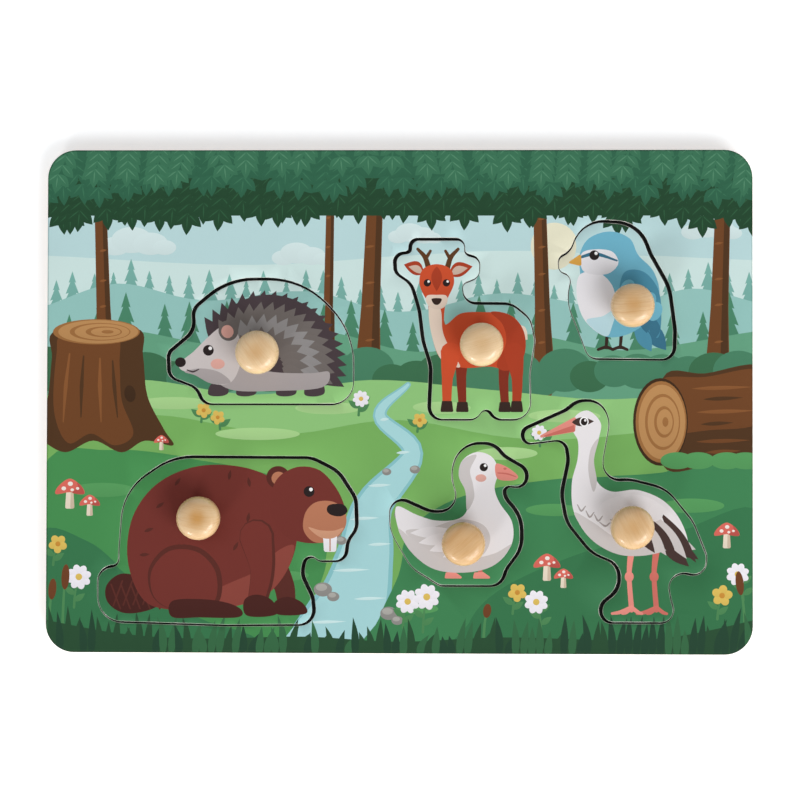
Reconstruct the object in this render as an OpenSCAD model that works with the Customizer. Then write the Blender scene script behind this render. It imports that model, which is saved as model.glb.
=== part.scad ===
// Peg puzzle: a wooden board of two glued sheets with a printed top. Six picture pieces
// lie in cut-outs of the upper sheet, and each lifts out by a turned wooden knob.
// Millimetres. The origin is the middle of the underside, X runs along the board, Z is up.

/* [Board] */
// Length of the board
board_length = 300; // [290:1:360]
// Width of the board
board_width = 214; // [206:1:280]
// Radius of the board's corners
corner_r = 12; // [4:1:30]
// Thickness of the backing sheet
backing_t = 3; // [2:0.5:6]
// Thickness of the cut-out sheet and of the pieces sawn from it
frame_t = 5; // [3:0.5:10]
// Thickness of the printed paper
paper_t = 0.2; // [0.1:0.05:0.5]

/* [Pieces in their cut-outs] */
// Clearance on each side of a piece that lies in the middle of its cut-out
cut_clearance = 0.95; // [0.75:0.05:1.5]
// How far a piece lies to one side of the middle
slip_x = 0.65; // [0:0.05:0.7]
// How far a piece lies towards the board's front edge
slip_y = 0.25; // [0:0.05:0.4]
// Step of the grid that the pieces' outlines are drawn on
grid = 1; // [0.9:0.01:1.03]

/* [Knobs] */
// Diameter of a knob's head
head_d = 18.4; // [14:0.1:24]
// Height of a knob above the picture
knob_h = 15; // [12:0.5:20]
// Height of the head's widest line above the picture
rim_h = 8.5; // [6.5:0.5:11]
// Depth of the head's underside below its widest line
under_h = 4; // [2:0.5:6]
// Diameter of the neck that stands on the picture
neck_d = 10.5; // [9:0.5:13]
// Diameter of the tenon glued into the piece
tenon_d = 8; // [5:0.5:8.5]
// Gap for the glue round the tenon
glue_gap = 0.05; // [0.02:0.01:0.2]
// Distance from the tenon's end to the underside of its piece
tenon_recess = 0.4; // [0:0.1:1]
// Roundness of the head's profile: 2 is an ellipse, more is squarer
head_power = 3.2; // [2:0.1:4]

/* [Places of the cut-outs] */
// Hedgehog, right of the board's middle
hedgehog_x = -60.25; // [-75:0.05:-52]
// Hedgehog, behind the board's middle
hedgehog_y = 20.6; // [10:0.1:40]
// Deer, right of the board's middle
deer_x = 34.45; // [26:0.05:40]
// Deer, behind the board's middle
deer_y = 24; // [23:0.1:45]
// Songbird, right of the board's middle
songbird_x = 99.25; // [92:0.05:120]
// Songbird, behind the board's middle
songbird_y = 40.5; // [38:0.1:60]
// Beaver, right of the board's middle
beaver_x = -83.55; // [-95:0.05:-80]
// Beaver, behind the board's middle
beaver_y = -49.4; // [-53:0.1:-42]
// Goose, right of the board's middle
goose_x = 28.25; // [22:0.05:32]
// Goose, behind the board's middle
goose_y = -59.9; // [-75:0.1:-56]
// Stork, right of the board's middle
stork_x = 97.85; // [96:0.05:110]
// Stork, behind the board's middle
stork_y = -52.9; // [-60:0.1:-50]

/* [Hidden] */
// Angle between the points of a rounded corner
arc_step = 6;
// Angle between the points of a knob's profile
profile_step = 7.5;
// Sides of a turned surface
$fn = 96;

board_t = backing_t + frame_t;
picture_z = board_t + paper_t;
head_r = head_d / 2;
neck_r = neck_d / 2;
tenon_r = tenon_d / 2;
tenon_length = paper_t + frame_t - tenon_recess;
bore_r = tenon_r + glue_gap;

// Outlines round each animal, counter-clockwise from the knob: corner x, corner y, radius
hedgehog_outline = [
    [-37.4, -10, 4.5], [-25.5, -14.5, 8], [-23, -21.4, 5], [40.2, -21.4, 9], [40.4, 9.1, 34],
    [18.5, 31, 34], [-12.5, 31, 30], [-27.4, 18.5, 6], [-26.5, 9.4, 9], [-37.8, -0.2, 4]];
deer_outline = [
    [-21.5, -31.2, 5], [-2, -31.2, 5], [2, -25, 3], [6.5, -31.2, 5], [21, -31.2, 7],
    [20.4, -12, 20], [22.6, 2, 8], [20.6, 11, 8], [13, 17.2, 9], [-7.4, 17.4, 6], [-8.4, 26.2, 3],
    [-1, 29.2, 4], [-0.8, 36.6, 3.4], [-7.4, 38.4, 3], [-7.2, 44.6, 3], [-29.6, 44.6, 2.9],
    [-29.4, 39.2, 2.4], [-36.2, 38.2, 3.4], [-35.8, 31, 4], [-29, 26.4, 9], [-25.6, 15, 16],
    [-24, 2, 20], [-20.6, -9, 16]];
songbird_outline = [
    [-18, -21.8, 5], [17.4, -22.2, 5], [17.8, -10, 14], [15.4, 8, 22], [7.5, 22, 18], [2.6, 34.8, 14],
    [-21, 36.4, 13], [-25.6, 23, 9], [-30.8, 20.4, 3], [-30.6, 15.4, 2.8], [-25, 12.8, 4],
    [-27.4, 2, 20], [-22, -11, 14]];
beaver_outline = [
    [-43.4, -43.8, 10], [10, -45.4, 30], [48.2, -45, 6], [47.2, -34, 8], [42.4, -24, 9],
    [44.6, -13.6, 3.6], [50.4, -18, 3.4], [61, -18, 4.4], [62, -9.6, 9], [65.8, -4.4, 7], [65.4, 8, 9],
    [58, 19.4, 14], [47, 25, 12], [-12, 25.3, 27], [-32.8, 11, 24], [-34.6, -14, 16], [-34.6, -21, 3.6],
    [-43.6, -22, 6]];
goose_outline = [
    [-10, -17.8, 5], [15.2, -17.8, 6], [17.5, -10.8, 9], [24, -2, 13], [23.8, 11, 15], [17, 19, 7],
    [16.2, 24.6, 2.6], [25.8, 23.8, 4], [26.2, 31, 4.6], [16.5, 36.6, 10], [12.5, 41.8, 8.6],
    [-1.6, 41.8, 11], [-5.4, 29, 16], [-0.8, 13.4, 7.4], [-14, 12.6, 14], [-31.4, 20.4, 5], [-31, 5, 16],
    [-22, -10.4, 16]];
stork_outline = [
    [-11.8, -40.2, 4.6], [19.4, -40.2, 5], [16.8, -31, 12], [15.2, -22, 6.4], [22, -18.8, 7], [31.4, -21, 5],
    [31.8, -12, 7], [26.2, 2, 16], [15, 15.8, 16], [0, 19.6, 16], [-11.4, 19, 7.4], [-12, 28, 12],
    [-9, 45, 11], [-13, 53, 8], [-22, 53, 8.6], [-27, 49, 9], [-45.2, 40.8, 3.2], [-44.8, 35.2, 3],
    [-27, 37.4, 5], [-25.6, 28, 12], [-28.6, 14, 16], [-26.4, 2, 14], [-16, -10.8, 16], [-4.6, -15.5, 8],
    [-3.8, -26.4, 10], [-12, -33, 5]];

// Each piece: place of its cut-out, the side it has slipped to, its outline and its main colour
left = -1;
right = 1;
hedgehog = [[hedgehog_x, hedgehog_y], right, hedgehog_outline, "#6E6764"];
deer = [[deer_x, deer_y], right, deer_outline, "#C9502F"];
songbird = [[songbird_x, songbird_y], left, songbird_outline, "#6FB2C9"];
beaver = [[beaver_x, beaver_y], left, beaver_outline, "#70322C"];
goose = [[goose_x, goose_y], left, goose_outline, "#E6E2E4"];
stork = [[stork_x, stork_y], right, stork_outline, "#D8D2D0"];
pieces = [hedgehog, deer, songbird, beaver, goose, stork];

function cut_place(piece) = piece[0];
function rest_place(piece) = piece[0] + [piece[1] * slip_x, -slip_y];
function outline(piece) = grid * piece[2];
function picture_colour(piece) = piece[3];

// Plane vectors: unit direction, outward side of a counter-clockwise edge, turn at a corner
function xy(p) = [p.x, p.y];
function heading(a, b) = (xy(b) - xy(a)) / norm(xy(b) - xy(a));
function outward(u) = [u.y, -u.x];
function turn(u, v) = atan2(u.x * v.y - u.y * v.x, u * v);

// The arc that rounds corner b between its neighbours a and c
function arc(a, b, c) = let (
        u = heading(a, b),
        bend = turn(u, heading(b, c)),
        side = sign(bend) * outward(u),
        centre = xy(b) - u * b.z * tan(abs(bend) / 2) - side * b.z,
        start = atan2(side.y, side.x),
        steps = ceil(abs(bend) / arc_step))
    [for (k = [0:steps]) centre + b.z * [cos(start + bend * k / steps), sin(start + bend * k / steps)]];
function rounded(corners) = let (n = len(corners))
    [for (i = [0:n - 1]) each arc(corners[(i + n - 1) % n], corners[i], corners[(i + 1) % n])];

// The same outline, moved outwards by a gap: corners move out and their radii follow
function grown_corner(a, b, c, gap) = let (
        u = heading(a, b),
        v = heading(b, c),
        shift = gap * (outward(u) + outward(v)) / (1 + u * v))
    [b.x + shift.x, b.y + shift.y, b.z + gap * sign(turn(u, v))];
function grown(corners, gap) = let (n = len(corners))
    [for (i = [0:n - 1]) grown_corner(corners[(i + n - 1) % n], corners[i], corners[(i + 1) % n], gap)];

// Quarter of a squared ellipse, in shares of its two half axes
function quarter(angle) = [pow(cos(angle), 2 / head_power), pow(sin(angle), 2 / head_power)];

// Half section of a knob, from its tenon to the top of its head
knob_foot = [[0, -tenon_length], [tenon_r, -tenon_length], [tenon_r, 0], [neck_r, 0]];
knob_under = [for (angle = [90:-profile_step:0])
    [neck_r + (head_r - neck_r) * quarter(angle).x, rim_h - under_h * quarter(angle).y]];
knob_crown = [for (angle = [profile_step:profile_step:90])
    [head_r * quarter(angle).x, rim_h + (knob_h - rim_h) * quarter(angle).y]];

module sheet_outline() {
    square([board_length - 2 * corner_r, board_width], center = true);
    square([board_length, board_width - 2 * corner_r], center = true);
    for (x = [-1, 1], y = [-1, 1])
        translate([x * (board_length / 2 - corner_r), y * (board_width / 2 - corner_r)])
            circle(corner_r);
}

module cut_sheet(thickness) {
    linear_extrude(thickness)
        difference() {
            sheet_outline();
            for (piece = pieces)
                translate(cut_place(piece))
                    polygon(rounded(grown(outline(piece), cut_clearance)));
        }
}

module bored_piece(piece, thickness) {
    linear_extrude(thickness)
        difference() {
            polygon(rounded(outline(piece)));
            circle(bore_r);
        }
}

module backing_board() {
    color("#D8BE93") linear_extrude(backing_t) sheet_outline();
}

module frame_board() {
    color("#C9A878") translate([0, 0, backing_t]) cut_sheet(frame_t);
}

module frame_print() {
    color("#5F9A68") translate([0, 0, board_t]) cut_sheet(paper_t);
}

module piece_block(piece) {
    color("#CDAE80")
        translate([rest_place(piece).x, rest_place(piece).y, backing_t])
            bored_piece(piece, frame_t);
}

module piece_print(piece) {
    color(picture_colour(piece))
        translate([rest_place(piece).x, rest_place(piece).y, board_t])
            bored_piece(piece, paper_t);
}

module piece_knob(piece) {
    color("#D9B98A")
        translate([rest_place(piece).x, rest_place(piece).y, picture_z])
            rotate_extrude()
                polygon(concat(knob_foot, knob_under, knob_crown));
}

backing_board();
frame_board();
frame_print();
piece_block(hedgehog);  // hedgehog_block
piece_print(hedgehog);  // hedgehog_print
piece_knob(hedgehog);  // hedgehog_knob
piece_block(deer);  // deer_block
piece_print(deer);  // deer_print
piece_knob(deer);  // deer_knob
piece_block(songbird);  // songbird_block
piece_print(songbird);  // songbird_print
piece_knob(songbird);  // songbird_knob
piece_block(beaver);  // beaver_block
piece_print(beaver);  // beaver_print
piece_knob(beaver);  // beaver_knob
piece_block(goose);  // goose_block
piece_print(goose);  // goose_print
piece_knob(goose);  // goose_knob
piece_block(stork);  // stork_block
piece_print(stork);  // stork_print
piece_knob(stork);  // stork_knob
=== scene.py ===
import itertools

import bpy
import numpy as np
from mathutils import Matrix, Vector
from mathutils.geometry import delaunay_2d_cdt


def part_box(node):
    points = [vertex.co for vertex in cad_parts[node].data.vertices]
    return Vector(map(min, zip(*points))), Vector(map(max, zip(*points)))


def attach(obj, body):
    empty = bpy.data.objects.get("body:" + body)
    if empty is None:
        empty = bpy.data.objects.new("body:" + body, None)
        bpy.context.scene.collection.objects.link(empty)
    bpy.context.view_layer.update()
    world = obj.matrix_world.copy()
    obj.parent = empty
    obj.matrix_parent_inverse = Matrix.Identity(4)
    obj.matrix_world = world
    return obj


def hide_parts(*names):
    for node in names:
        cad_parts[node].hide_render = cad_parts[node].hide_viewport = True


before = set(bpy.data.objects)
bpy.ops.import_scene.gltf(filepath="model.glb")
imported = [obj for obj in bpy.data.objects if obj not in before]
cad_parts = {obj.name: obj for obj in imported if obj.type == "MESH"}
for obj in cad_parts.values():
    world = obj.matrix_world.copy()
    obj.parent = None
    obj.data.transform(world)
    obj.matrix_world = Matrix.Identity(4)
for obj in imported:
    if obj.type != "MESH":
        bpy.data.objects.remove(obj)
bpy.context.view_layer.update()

mm = 0.001      # drawings and outlines are in millimetres, the meshes in metres
print("frame loaded:", len(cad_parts), "nodes")


# ellipse: centre + (rx cos t, ry sin t), turned about its centre
def ellipse(cx, cy, rx, ry, turn=0, n=36):
    t = np.linspace(0, 2 * np.pi, n, endpoint=False)
    c, s = np.cos(np.radians(turn)), np.sin(np.radians(turn))
    x, y = rx * np.cos(t), ry * np.sin(t)
    return np.stack([cx + c * x - s * y, cy + s * x + c * y], 1)


# cubic through four neighbours that passes the middle two, t from 0 to 1 between them
def catmull(p0, p1, p2, p3, t):
    a = -p0 + p2
    b = 2 * p0 - 5 * p1 + 4 * p2 - p3
    c = -p0 + 3 * p1 - 3 * p2 + p3
    return 0.5 * (2 * p1 + a * t + b * t**2 + c * t**3)


# closed smooth outline through the points: n steps of the cubic on every side
def blob(points, n=7):
    p = np.asarray(points, float)
    t = np.linspace(0, 1, n, endpoint=False)[None, :, None]
    near = [np.roll(p, k, 0)[:, None, :] for k in (1, 0, -1, -2)]
    return catmull(*near, t).reshape(-1, 2)


# open smooth line through the points, with mirrored ends
def openCurve(points, n=7):
    p = np.asarray(points, float)
    p = np.vstack([2 * p[0] - p[1], p, 2 * p[-1] - p[-2]])
    t = np.linspace(0, 1, n, endpoint=False)[None, :, None]
    near = [p[k:len(p) - 3 + k, None, :] for k in range(4)]
    return np.vstack([catmull(*near, t).reshape(-1, 2), p[-2]])


# stroke: half its width to each side of the line along the normal, with round ends
def ribbon(points, widths, n=7, cap=5):
    line = openCurve(points, n)
    along = np.linspace(0, 1, len(line))
    w = np.interp(along, np.linspace(0, 1, len(widths)), widths) / 2
    d = np.gradient(line, axis=0)
    d /= np.linalg.norm(d, axis=1)[:, None]
    side = np.stack([-d[:, 1], d[:, 0]], 1)
    a = np.linspace(0.5, -0.5, cap + 2)[1:-1, None] * np.pi
    end = line[-1] + w[-1] * (np.cos(a) * d[-1] + np.sin(a) * side[-1])
    start = line[0] - w[0] * (np.cos(a) * d[0] + np.sin(a) * side[0])
    return np.vstack([line + w[:, None] * side, end, (line - w[:, None] * side)[::-1], start])


# leaf: half width sin(pi t^full) about a straight rib that bows by sin(pi t)
def leaf(x0, y0, x1, y1, width, n=12, bow=0.0, full=0.85):
    a, b = np.array([x0, y0], float), np.array([x1, y1], float)
    d = b - a
    side = np.array([-d[1], d[0]]) / np.linalg.norm(d)
    t = np.linspace(0, 1, n)
    w = width / 2 * np.sin(np.pi * t**full)
    rib = a + t[:, None] * d + bow * np.sin(np.pi * t)[:, None] * side
    return np.vstack([rib + w[:, None] * side, (rib - w[:, None] * side)[-2:0:-1]])


# corners (x, y, radius) rounded: each arc touches both sides, its centre r / sin(half angle) in
def fillet(points, steps=7):
    p = np.asarray(points, float)
    at, r = p[:, :2], p[:, 2:]
    u, v = np.roll(at, 1, 0) - at, np.roll(at, -1, 0) - at
    u /= np.linalg.norm(u, axis=1)[:, None]
    v /= np.linalg.norm(v, axis=1)[:, None]
    half = np.arccos((u * v).sum(1))[:, None] / 2
    middle = (u + v) / np.linalg.norm(u + v, axis=1)[:, None]
    centre = at + middle * r / np.sin(half)
    a0, a1 = [np.arctan2(*(at + k * r / np.tan(half) - centre).T[::-1])[:, None] for k in (u, v)]
    sweep = (a1 - a0 + np.pi) % (2 * np.pi) - np.pi
    a = a0 + sweep * np.linspace(0, 1, steps)
    return (centre[:, None] + r[:, None] * np.stack([np.cos(a), np.sin(a)], 2)).reshape(-1, 2)


inks = dict(
    # coats, feathers and faces
    slate="#6E6764", slateDark="#463B3F", slateLight="#8E8B8B", ash="#CDC5C4", ashDark="#A79F9F",
    rust="#C9502F", rustDark="#A83F26", rustDeep="#7E2F20", cream="#E3CFBE", creamShade="#CDB3A2",
    soot="#33241F", antler="#5B3A22", blue="#6FB2C9", blueDeep="#4C8CA6", blueDark="#3A7089",
    paleBlue="#B9D9E2", milk="#E8E6EA", beakGold="#D9A24A", bark="#70322C", barkDark="#562A24",
    barkDeep="#43201C", barkLight="#87433A", tan="#B5775A", tanLight="#CB9678", snow="#E6E2E4",
    snowShade="#C9C3C2", snowDeep="#A9A19F", coral="#E18C80", coralDeep="#C96D62", blush="#DDA79C",
    umber="#43322F", ink="#241C1C", white="#F4F2F2",
    # sky, hills and water
    sky="#B9D8DA", skyLow="#CBE2DF", sun="#E6E3C9", cloud="#D3E6E6", mist="#92C1BB",
    mistTree="#78AFA5", hill="#629D7E", hillTree="#4A8568", water="#A5D3D6", waterEdge="#86BFC4",
    ripple="#C9E4E4",
    # grass, leaves and wood
    bush="#477F61", bushDark="#3B6C4C", meadow="#8CC079", meadowLow="#74AA5C", grassLight="#A6D08C",
    bankLeft="#458A4F", bankRight="#3F8052", bankDeep="#36724A", patch="#55985B", front="#284A31",
    frontDark="#234230", blade="#356542", bladeLight="#4C8453", canopy="#31644B",
    canopyRim="#3D7457", canopyVein="#53896A", leafDark="#24462F", leafVein="#2F5A3D",
    trunk="#6E4426", trunkDark="#4E341F", trunkLight="#875631", ring="#B98A58", ringDark="#9C6C3F",
    rootDark="#3C2818",
    # flowers and small things
    cap="#D7685C", capShade="#B9534B", dot="#F0E4DC", stem="#E6D8C4", stemShade="#CDB9A2",
    petal="#ECE9F0", gold="#D9B95C", goldDark="#C68C3A", stone="#8C8A86", stoneLight="#A9A7A1",
    cattail="#6B3F25")


# empty drawing, and the function that lays one inked outline on top of it
def newArt():
    art = []

    def add(ink, outline):
        art.append((ink, np.asarray(outline, float)))
    return art, add


# corners of an upright rectangle, counter-clockwise from its low left one
def rectangle(low, high):
    return np.array([low, (high[0], low[1]), high, (low[0], high[1])], float)


# eye: a dark disc in a ring 1.35 times as wide, with a glint a third as wide up to its right
def eye(add, x, y, r, ring=None):
    if ring:
        add(ring, ellipse(x, y, r * 1.35, r * 1.35))
    add("ink", ellipse(x, y, r, r, n=24))
    add("white", ellipse(x + r * .35, y + r * .38, r * .34, r * .34, n=14))


# hedgehog, in mm from its knob: feet, quills that fan out from one centre row over row, belly, face
def drawHedgehog():
    art, add = newArt()
    # tiny feet
    for x in (-17, -5, 12, 24):
        add("slateDark", blob([(x - 4.5, -17.5), (x - 3, -13), (x + 3, -13), (x + 4, -17), (x, -18.4)]))
    # spiny coat: fans of quills from the outer to the inner, each leaning back from its own direction
    centre = np.array([3.0, -6.0])

    def quills(reach, root, count, a0, a1, ink, width, squash=.95):
        for k in range(count):
            a = np.radians(a0 + (a1 - a0) * k / (count - 1))
            d = np.array([np.cos(a), squash * np.sin(a)])
            lean = np.array([np.cos(a - .22), squash * np.sin(a - .22)])
            b, t = centre + root * d, centre + reach * lean
            add(ink, leaf(*b, *t, width, n=9, full=.7))

    quills(34.6, 20, 20, 152, -2, "slateDark", 7)
    add("slateDark", blob([(-19, 2), (-17, 13), (-9, 21.5), (4, 25), (18, 21.5), (29, 12), (32, -2),
            (28, -12), (14, -14), (-10, -13)]))
    quills(29.5, 16, 16, 146, -2, "slate", 7)
    quills(24, 12, 13, 142, -8, "slateLight", 6)
    quills(18.5, 7, 10, 140, -2, "slate", 5.5)
    # belly, then the face with its long nose
    add("ashDark", blob([(-21, -8), (-12, -4.5), (6, -8), (22, -8.5), (30, -8), (27, -14.5), (8, -16),
            (-12, -15.5)]))
    add("ash", blob([(-11.5, 12), (-16.5, 11), (-22, 6.5), (-28, 0.5), (-33.5, -4), (-33.2, -7),
            (-27, -9.5), (-20, -13), (-12, -12.5), (-8, -5), (-8, 5)]))
    add("ashDark", blob([(-20, -13), (-27, -9.5), (-31.5, -8), (-25, -6.5), (-17, -8), (-12, -12.5)]))
    add("ink", ellipse(-33.4, -3.9, 2.3, 2.1))
    add("slate", ellipse(-13, 9.6, 4.2, 4.4, 20))
    add("blush", ellipse(-13.4, 9.2, 2.6, 2.8, 20))
    eye(add, -21.5, 1.2, 2.3)
    add("blush", ellipse(-17.5, -4.6, 3, 2.2))
    add("slateDark", ribbon([(-30.5, -7.2), (-28, -7.9), (-25.6, -6.9)], [.5, .8, .5]))
    return art


# deer, in mm from its knob: far legs under the body, near legs and head over it
def drawDeer():
    art, add = newArt()
    # antlers
    for s, x0 in ((-1, -22.5), (1, -14.5)):
        add("antler", ribbon([(x0, 33), (x0 + 1.5 * s, 37.5), (x0 + 4.6 * s, 41)], [2.4, 2.0, 1.3]))
        add("antler", ribbon([(x0 + 1.2 * s, 36.8), (x0 - .8 * s, 40.2)], [1.7, 1.2]))
    # far legs
    for x, k in ((-8.2, 0), (9.8, 1.2)):
        add("rustDeep", ribbon([(x + k, -2), (x - .3, -13), (x + .2, -25)], [6.5, 4.2, 3.4]))
        add("soot", fillet([(x - 2, -24, .5), (x + 2.4, -24, .5), (x + 2.9, -28.3, .6),
                (x - 2.6, -28.3, .6)]))
    # tail
    add("cream", leaf(13.5, 8, 19.6, 2.5, 6.4))
    # body and neck
    add("rust", blob([(-15.5, 9), (-15, 20), (-13, 27), (-21, 27.5), (-22.5, 17), (-21, 4), (-17, -6),
            (-8, -9.5), (4, -9), (12, -10.5), (18.2, -4), (18, 6), (12, 13), (0, 14.2), (-9, 13.5)]))
    add("rustDark", blob([(18.2, -4), (18, 6), (12, 13), (4, 14.2), (9, 9), (10.5, 1), (6.5, -8.5),
            (12, -10.5)]))
    add("cream", blob([(-20.2, 21), (-17.2, 15), (-16.4, 6), (-13.5, -1), (-9, -9.2), (-17, -6),
            (-21, 4), (-22.4, 15)]))
    # near legs
    for x, k in ((-14.6, 1.6), (15, -1.2)):
        ink = "rust" if x < 0 else "rustDark"
        add(ink, ribbon([(x + k, -3), (x + .2, -14), (x, -25)], [8.6, 4.6, 3.7]))
        add("soot", fillet([(x - 2.1, -23.6, .5), (x + 2.2, -23.6, .5), (x + 2.8, -28.3, .6),
                (x - 2.8, -28.3, .6)]))
    # ears
    add("rustDark", leaf(-13.8, 30, -3.8, 33.6, 6.2, bow=.8))
    add("creamShade", leaf(-13, 30.4, -5.8, 32.9, 3.4, bow=.6))
    add("rustDark", leaf(-24.5, 30.5, -33, 34.4, 5.8, bow=-.8))
    add("creamShade", leaf(-25, 30.8, -31, 33.5, 3.0, bow=-.6))
    # head seen nearly from the front
    add("rust", blob([(-19, 34.6), (-13.2, 32.5), (-11.6, 27), (-13.6, 21.6), (-16.2, 17.8),
            (-21.4, 17.8), (-24.6, 21.6), (-26.4, 27), (-24.8, 32.5)]))
    add("cream", blob([(-19, 21.5), (-15, 21.2), (-14.5, 18.4), (-16.6, 15.8), (-21, 15.8),
            (-23.4, 18.4), (-23, 21.2)]))
    add("rustDark", leaf(-19, 33.6, -19, 23, 4.6))
    add("soot", blob([(-21, 19.9), (-17, 19.9), (-17.6, 17.9), (-19, 17.2), (-20.4, 17.9)]))
    for x in (-23, -14.9):
        eye(add, x, 26.6, 1.55)
    return art


# songbird, in mm from its knob: tail under the body, wing feathers row over row, head
def drawSongbird():
    art, add = newArt()
    # legs
    for x in (-10, -4):
        add("soot", ribbon([(x, -10), (x - .6, -17.4)], [1.5, 1.3]))
        add("soot", ribbon([(x - 4, -18.2), (x - .6, -17.2), (x + 2.4, -18.2)], [1.2, 1.5, 1.2]))
    # tail
    add("blueDark", leaf(2, -2, 14.8, -18.4, 7.5, full=1.4))
    add("blueDeep", leaf(0, -4, 8.6, -19, 6, full=1.4))
    # body
    add("blue", blob([(-9, 32), (-18, 29), (-22, 21.5), (-21.6, 13), (-23, 4), (-19.5, -6),
            (-11, -12.6), (-1, -11.5), (8, -5), (12, 5), (9.5, 15), (3, 22), (-.6, 29)]))
    add("milk", blob([(-21.8, 13.5), (-14, 14.5), (-8, 9), (-6.4, 0), (-8, -8), (-11, -12.6),
            (-19.5, -6), (-23, 4)]))
    add("paleBlue", blob([(-11, -12.6), (-8, -8), (-6.6, -1), (-12, -4), (-19, -6)]))
    # cheek and mask
    add("milk", blob([(-21, 22.6), (-15, 24.4), (-8, 23.4), (-5.4, 18.6), (-9, 14.4), (-15, 13.6),
            (-20.6, 15.6)]))
    add("blueDark", ribbon([(-22, 20.9), (-15, 22.4), (-6, 19.6)], [1.1, 1.7, .7]))
    # wing with two rows of feathers
    add("blueDeep", blob([(-3, 14.5), (5, 15), (11.2, 8), (12.8, -2), (11.5, -13), (6, -9), (-1, -4),
            (-5, 4)]))
    for x, y, drop in ((-3.4, 1, 8), (.6, -3, 8.4), (4.6, -6.8, 8), (8.4, -9.6, 6.6)):
        add("blueDark", leaf(x + 1, y + 6, x + 2, y - drop * .55, 4.8, full=1.3))
    for x, y in ((-1.6, 7.6), (3, 5.2), (7.4, 2.2), (10, -2)):
        add("blue", ellipse(x, y, 3.0, 4.2, -25, n=22))
    # beak and eye
    add("beakGold", fillet([(-21.2, 22.6, .6), (-27, 18.6, .5), (-21, 17.2, .8)]))
    eye(add, -15.6, 21.9, 2.1)
    return art


# beaver, in mm from its knob: crossed lines on the tail, body, haunch and arm, head
def drawBeaver():
    art, add = newArt()
    # paddle tail with a crossed pattern
    add("barkDeep", blob([(-18, -30), (-25, -25.5), (-34, -24), (-40, -29), (-39.5, -36), (-33, -40.5),
            (-24, -40), (-17, -36.5)]))
    for k in range(5):
        x = 4.2 * k
        for line in ([(-37 + x, -37.5 + .2 * k), (-33.2 + x, -27)], [(-38 + x, -28.5), (-34 + x, -38.8)]):
            add("barkDark", ribbon(line, [.7, .7], n=3, cap=2))
    # far arm and foot
    add("barkDark", ribbon([(27, -14), (35, -27), (37, -37)], [13, 9, 7.5]))
    add("barkDeep", blob([(31.5, -36), (37, -33.5), (43.5, -36), (45, -40.6), (33, -41)]))
    # body
    add("bark", blob([(-25, -34), (-31, -18), (-29, 0), (-19, 14), (-3, 21.5), (15, 22), (30, 17),
            (40, 6), (41, -10), (36, -24), (26, -34), (8, -38.5), (-14, -39)]))
    add("barkLight", blob([(8, -38.5), (26, -34), (36, -24), (40, -12), (33, -14), (25, -22), (12, -28),
            (2, -33)]))
    # fur strokes on the back
    for x, y, a in ((-24, -6, 20), (-19, 4, 35), (-26, -16, 5), (-11, 13.5, 55), (12, 16, 80),
            (21, 13, 100), (-15, -16, 15), (14, -14, 60), (20, -2, 80), (-18, -26, 0)):
        d = 3.4 * np.array([np.cos(np.radians(a)), np.sin(np.radians(a))])
        add("barkDark", leaf(x, y, x + d[0] * 1.3, y + d[1] * 1.3, 1.5))
    # haunch and long hind foot
    add("barkDark", blob([(-20, -34), (-22, -22), (-14, -12.5), (-1, -12.5), (8, -21), (9, -33),
            (4, -38.4), (-10, -39.5)]))
    add("bark", blob([(-19.4, -34), (-20.8, -23), (-13.4, -14.4), (-2, -14.4), (6, -22), (7, -33),
            (2, -38.4), (-10, -39.5)]))
    add("barkDeep", blob([(-12, -35.5), (0, -34.6), (11, -36), (17.5, -39), (16, -42.3), (0, -42.4),
            (-12, -42.2)]))
    # near arm holding low
    add("barkDark", ribbon([(24, -8), (26.5, -22), (24.6, -35)], [15, 10.5, 8.5]))
    add("bark", ribbon([(23.6, -8), (25.9, -22), (24.2, -34)], [13.6, 9, 7]))
    add("barkDeep", blob([(18.8, -35), (24, -32.6), (30.6, -35), (32.4, -41), (20, -41.6)]))
    # head
    add("barkDark", ellipse(33, 17.2, 5, 4.8))
    add("tan", ellipse(33.2, 16.8, 3.0, 2.8))
    add("bark", blob([(30, 9), (33, 17), (41, 21.6), (50, 20.6), (56.4, 14.6), (61, 6), (61.6, -2.6),
            (57, -8.6), (47.5, -10.8), (36.5, -8), (30.4, 0)]))
    add("tan", blob([(44.6, 2), (49, 6.6), (56, 7), (61.2, 3.4), (61.8, -3.4), (57, -9), (49, -10.4),
            (44, -5.4)]))
    add("milk", fillet([(52.2, -7.4, .6), (58.2, -7.4, .6), (57.8, -14.4, 1), (52.6, -14.4, 1)]))
    add("tan", ribbon([(55.2, -7.6), (55.2, -14)], [.5, .5], n=3, cap=2))
    add("tanLight", blob([(46, -4), (51, -8.2), (57, -8.4), (61, -4.2), (56.6, -5.4), (50.8, -5.2)]))
    add("ink", blob([(55, 5.6), (60.5, 5.8), (62.6, 3), (60, .8), (55.8, 1.2), (53.8, 3.2)]))
    eye(add, 46.2, 11.2, 2.3)
    return art


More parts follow.
